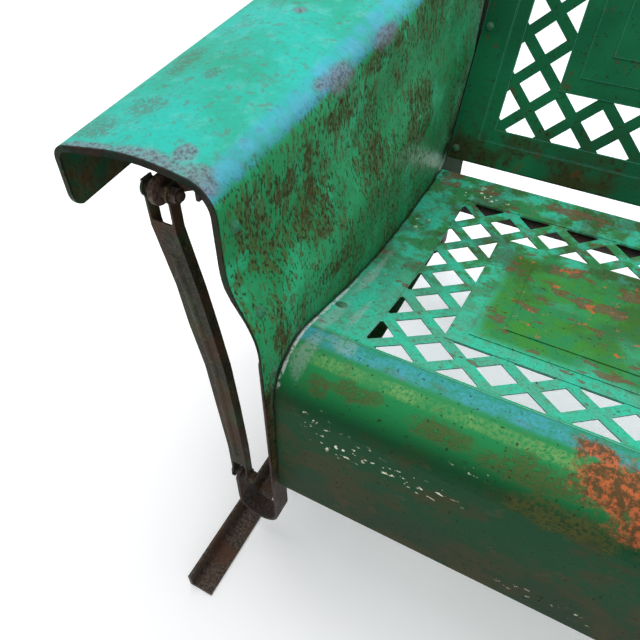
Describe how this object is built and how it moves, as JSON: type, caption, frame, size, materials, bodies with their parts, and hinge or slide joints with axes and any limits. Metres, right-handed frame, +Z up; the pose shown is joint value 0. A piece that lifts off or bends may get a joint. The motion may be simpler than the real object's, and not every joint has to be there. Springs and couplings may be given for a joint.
{
  "type": "porch glider seat",
  "caption": "Pressed and pierced sheet-steel porch glider: seat, back and arms in one body that swings on links above a standing base of steel angle.",
  "frame": {"origin": "on the floor, under the middle of the glider's length and depth", "axes": "+X along the seat to the sitter's left, +Z up, -Y to the front, where the sitter's legs go"},
  "size_m": [1.904, 0.858, 0.7724],
  "materials": {
    "seat_paint": "old teal-green enamel, chipped and rust-stained",
    "back_paint": "old green enamel, rust-stained along the edges",
    "arm_paint": "old turquoise-green enamel, rust-speckled",
    "bolt_paint": "painted over in the same green",
    "link_steel": "dark paint gone brown with rust",
    "strap_steel": "bare rusted steel",
    "base_steel": "dark rusted steel",
    "underframe_steel": "dark rusted steel",
    "bolt_steel": "rusted fastener steel"
  },
  "bodies": {
    "base": {"base_rail_left": "base_steel", "base_top_bar_left": "base_steel", "base_upright_front_left": "base_steel", "pivot_bracket_front_left": "base_steel", "base_upright_rear_left": "base_steel", "pivot_bracket_rear_left": "base_steel", "base_rail_right": "base_steel", "base_top_bar_right": "base_steel", "base_upright_front_right": "base_steel", "pivot_bracket_front_right": "base_steel", "base_upright_rear_right": "base_steel", "pivot_bracket_rear_right": "base_steel", "base_stretcher_1": "base_steel", "base_stretcher_2": "base_steel", "base_bolts": "bolt_steel", "stretcher_rivets": "bolt_steel"},
    "seat": {"seat_pan": "seat_paint", "back_panel": "back_paint", "seat_front_rail": "underframe_steel", "seat_rear_rail": "underframe_steel", "front_cross_rail": "underframe_steel", "rear_cross_rail": "underframe_steel", "seat_brace_1": "underframe_steel", "seat_brace_2": "underframe_steel", "hanger_bolts": "bolt_steel", "back_bolts": "bolt_paint", "seat_screws": "bolt_paint", "arm_panel_left": "arm_paint", "arm_post_left": "underframe_steel", "panel_rivets_left": "bolt_paint", "back_angle_left": "underframe_steel", "hanger_strap_front_left": "strap_steel", "hanger_strap_rear_left": "strap_steel", "arm_panel_right": "arm_paint", "arm_post_right": "underframe_steel", "panel_rivets_right": "bolt_paint", "back_angle_right": "underframe_steel", "hanger_strap_front_right": "strap_steel", "hanger_strap_rear_right": "strap_steel"},
    "link_front_left": {"swing_link_front_left": "link_steel", "pivot_bolts_front_left": "bolt_steel", "link_spacers_front_left": "bolt_steel"},
    "link_front_right": {"swing_link_front_right": "link_steel", "pivot_bolts_front_right": "bolt_steel", "link_spacers_front_right": "bolt_steel"},
    "link_rear_left": {"swing_link_rear_left": "link_steel", "pivot_bolts_rear_left": "bolt_steel", "link_spacers_rear_left": "bolt_steel"},
    "link_rear_right": {"swing_link_rear_right": "link_steel", "pivot_bolts_rear_right": "bolt_steel", "link_spacers_rear_right": "bolt_steel"}
  },
  "joints": [
    {"name": "link_front_left_pivot", "type": "hinge", "parent": "base", "child": "link_front_left", "pos_m": [-0.86, -0.3115, 0.531], "axis": [1, 0, 0], "range_deg": [-10, 10]},
    {"name": "seat_pivot", "type": "hinge", "parent": "link_front_left", "child": "seat", "pos_m": [-0.826, -0.3115, 0.119], "axis": [1, 0, 0], "range_deg": [-10, 10]},
    {"name": "link_front_right_pivot", "type": "hinge", "parent": "base", "child": "link_front_right", "pos_m": [0.86, -0.3115, 0.531], "axis": [1, 0, 0], "range_deg": [-10, 10]},
    {"name": "link_rear_left_pivot", "type": "hinge", "parent": "base", "child": "link_rear_left", "pos_m": [-0.86, 0.3115, 0.531], "axis": [1, 0, 0], "range_deg": [-10, 10]},
    {"name": "link_rear_right_pivot", "type": "hinge", "parent": "base", "child": "link_rear_right", "pos_m": [0.86, 0.3115, 0.531], "axis": [1, 0, 0], "range_deg": [-10, 10]}
  ],
  "couplings": [
    {"joint": "seat_pivot", "follows": "link_front_left_pivot", "ratio": -1},
    {"joint": "link_front_right_pivot", "follows": "link_front_left_pivot", "ratio": 1},
    {"joint": "link_rear_left_pivot", "follows": "link_front_left_pivot", "ratio": 1},
    {"joint": "link_rear_right_pivot", "follows": "link_front_left_pivot", "ratio": 1}
  ]
}
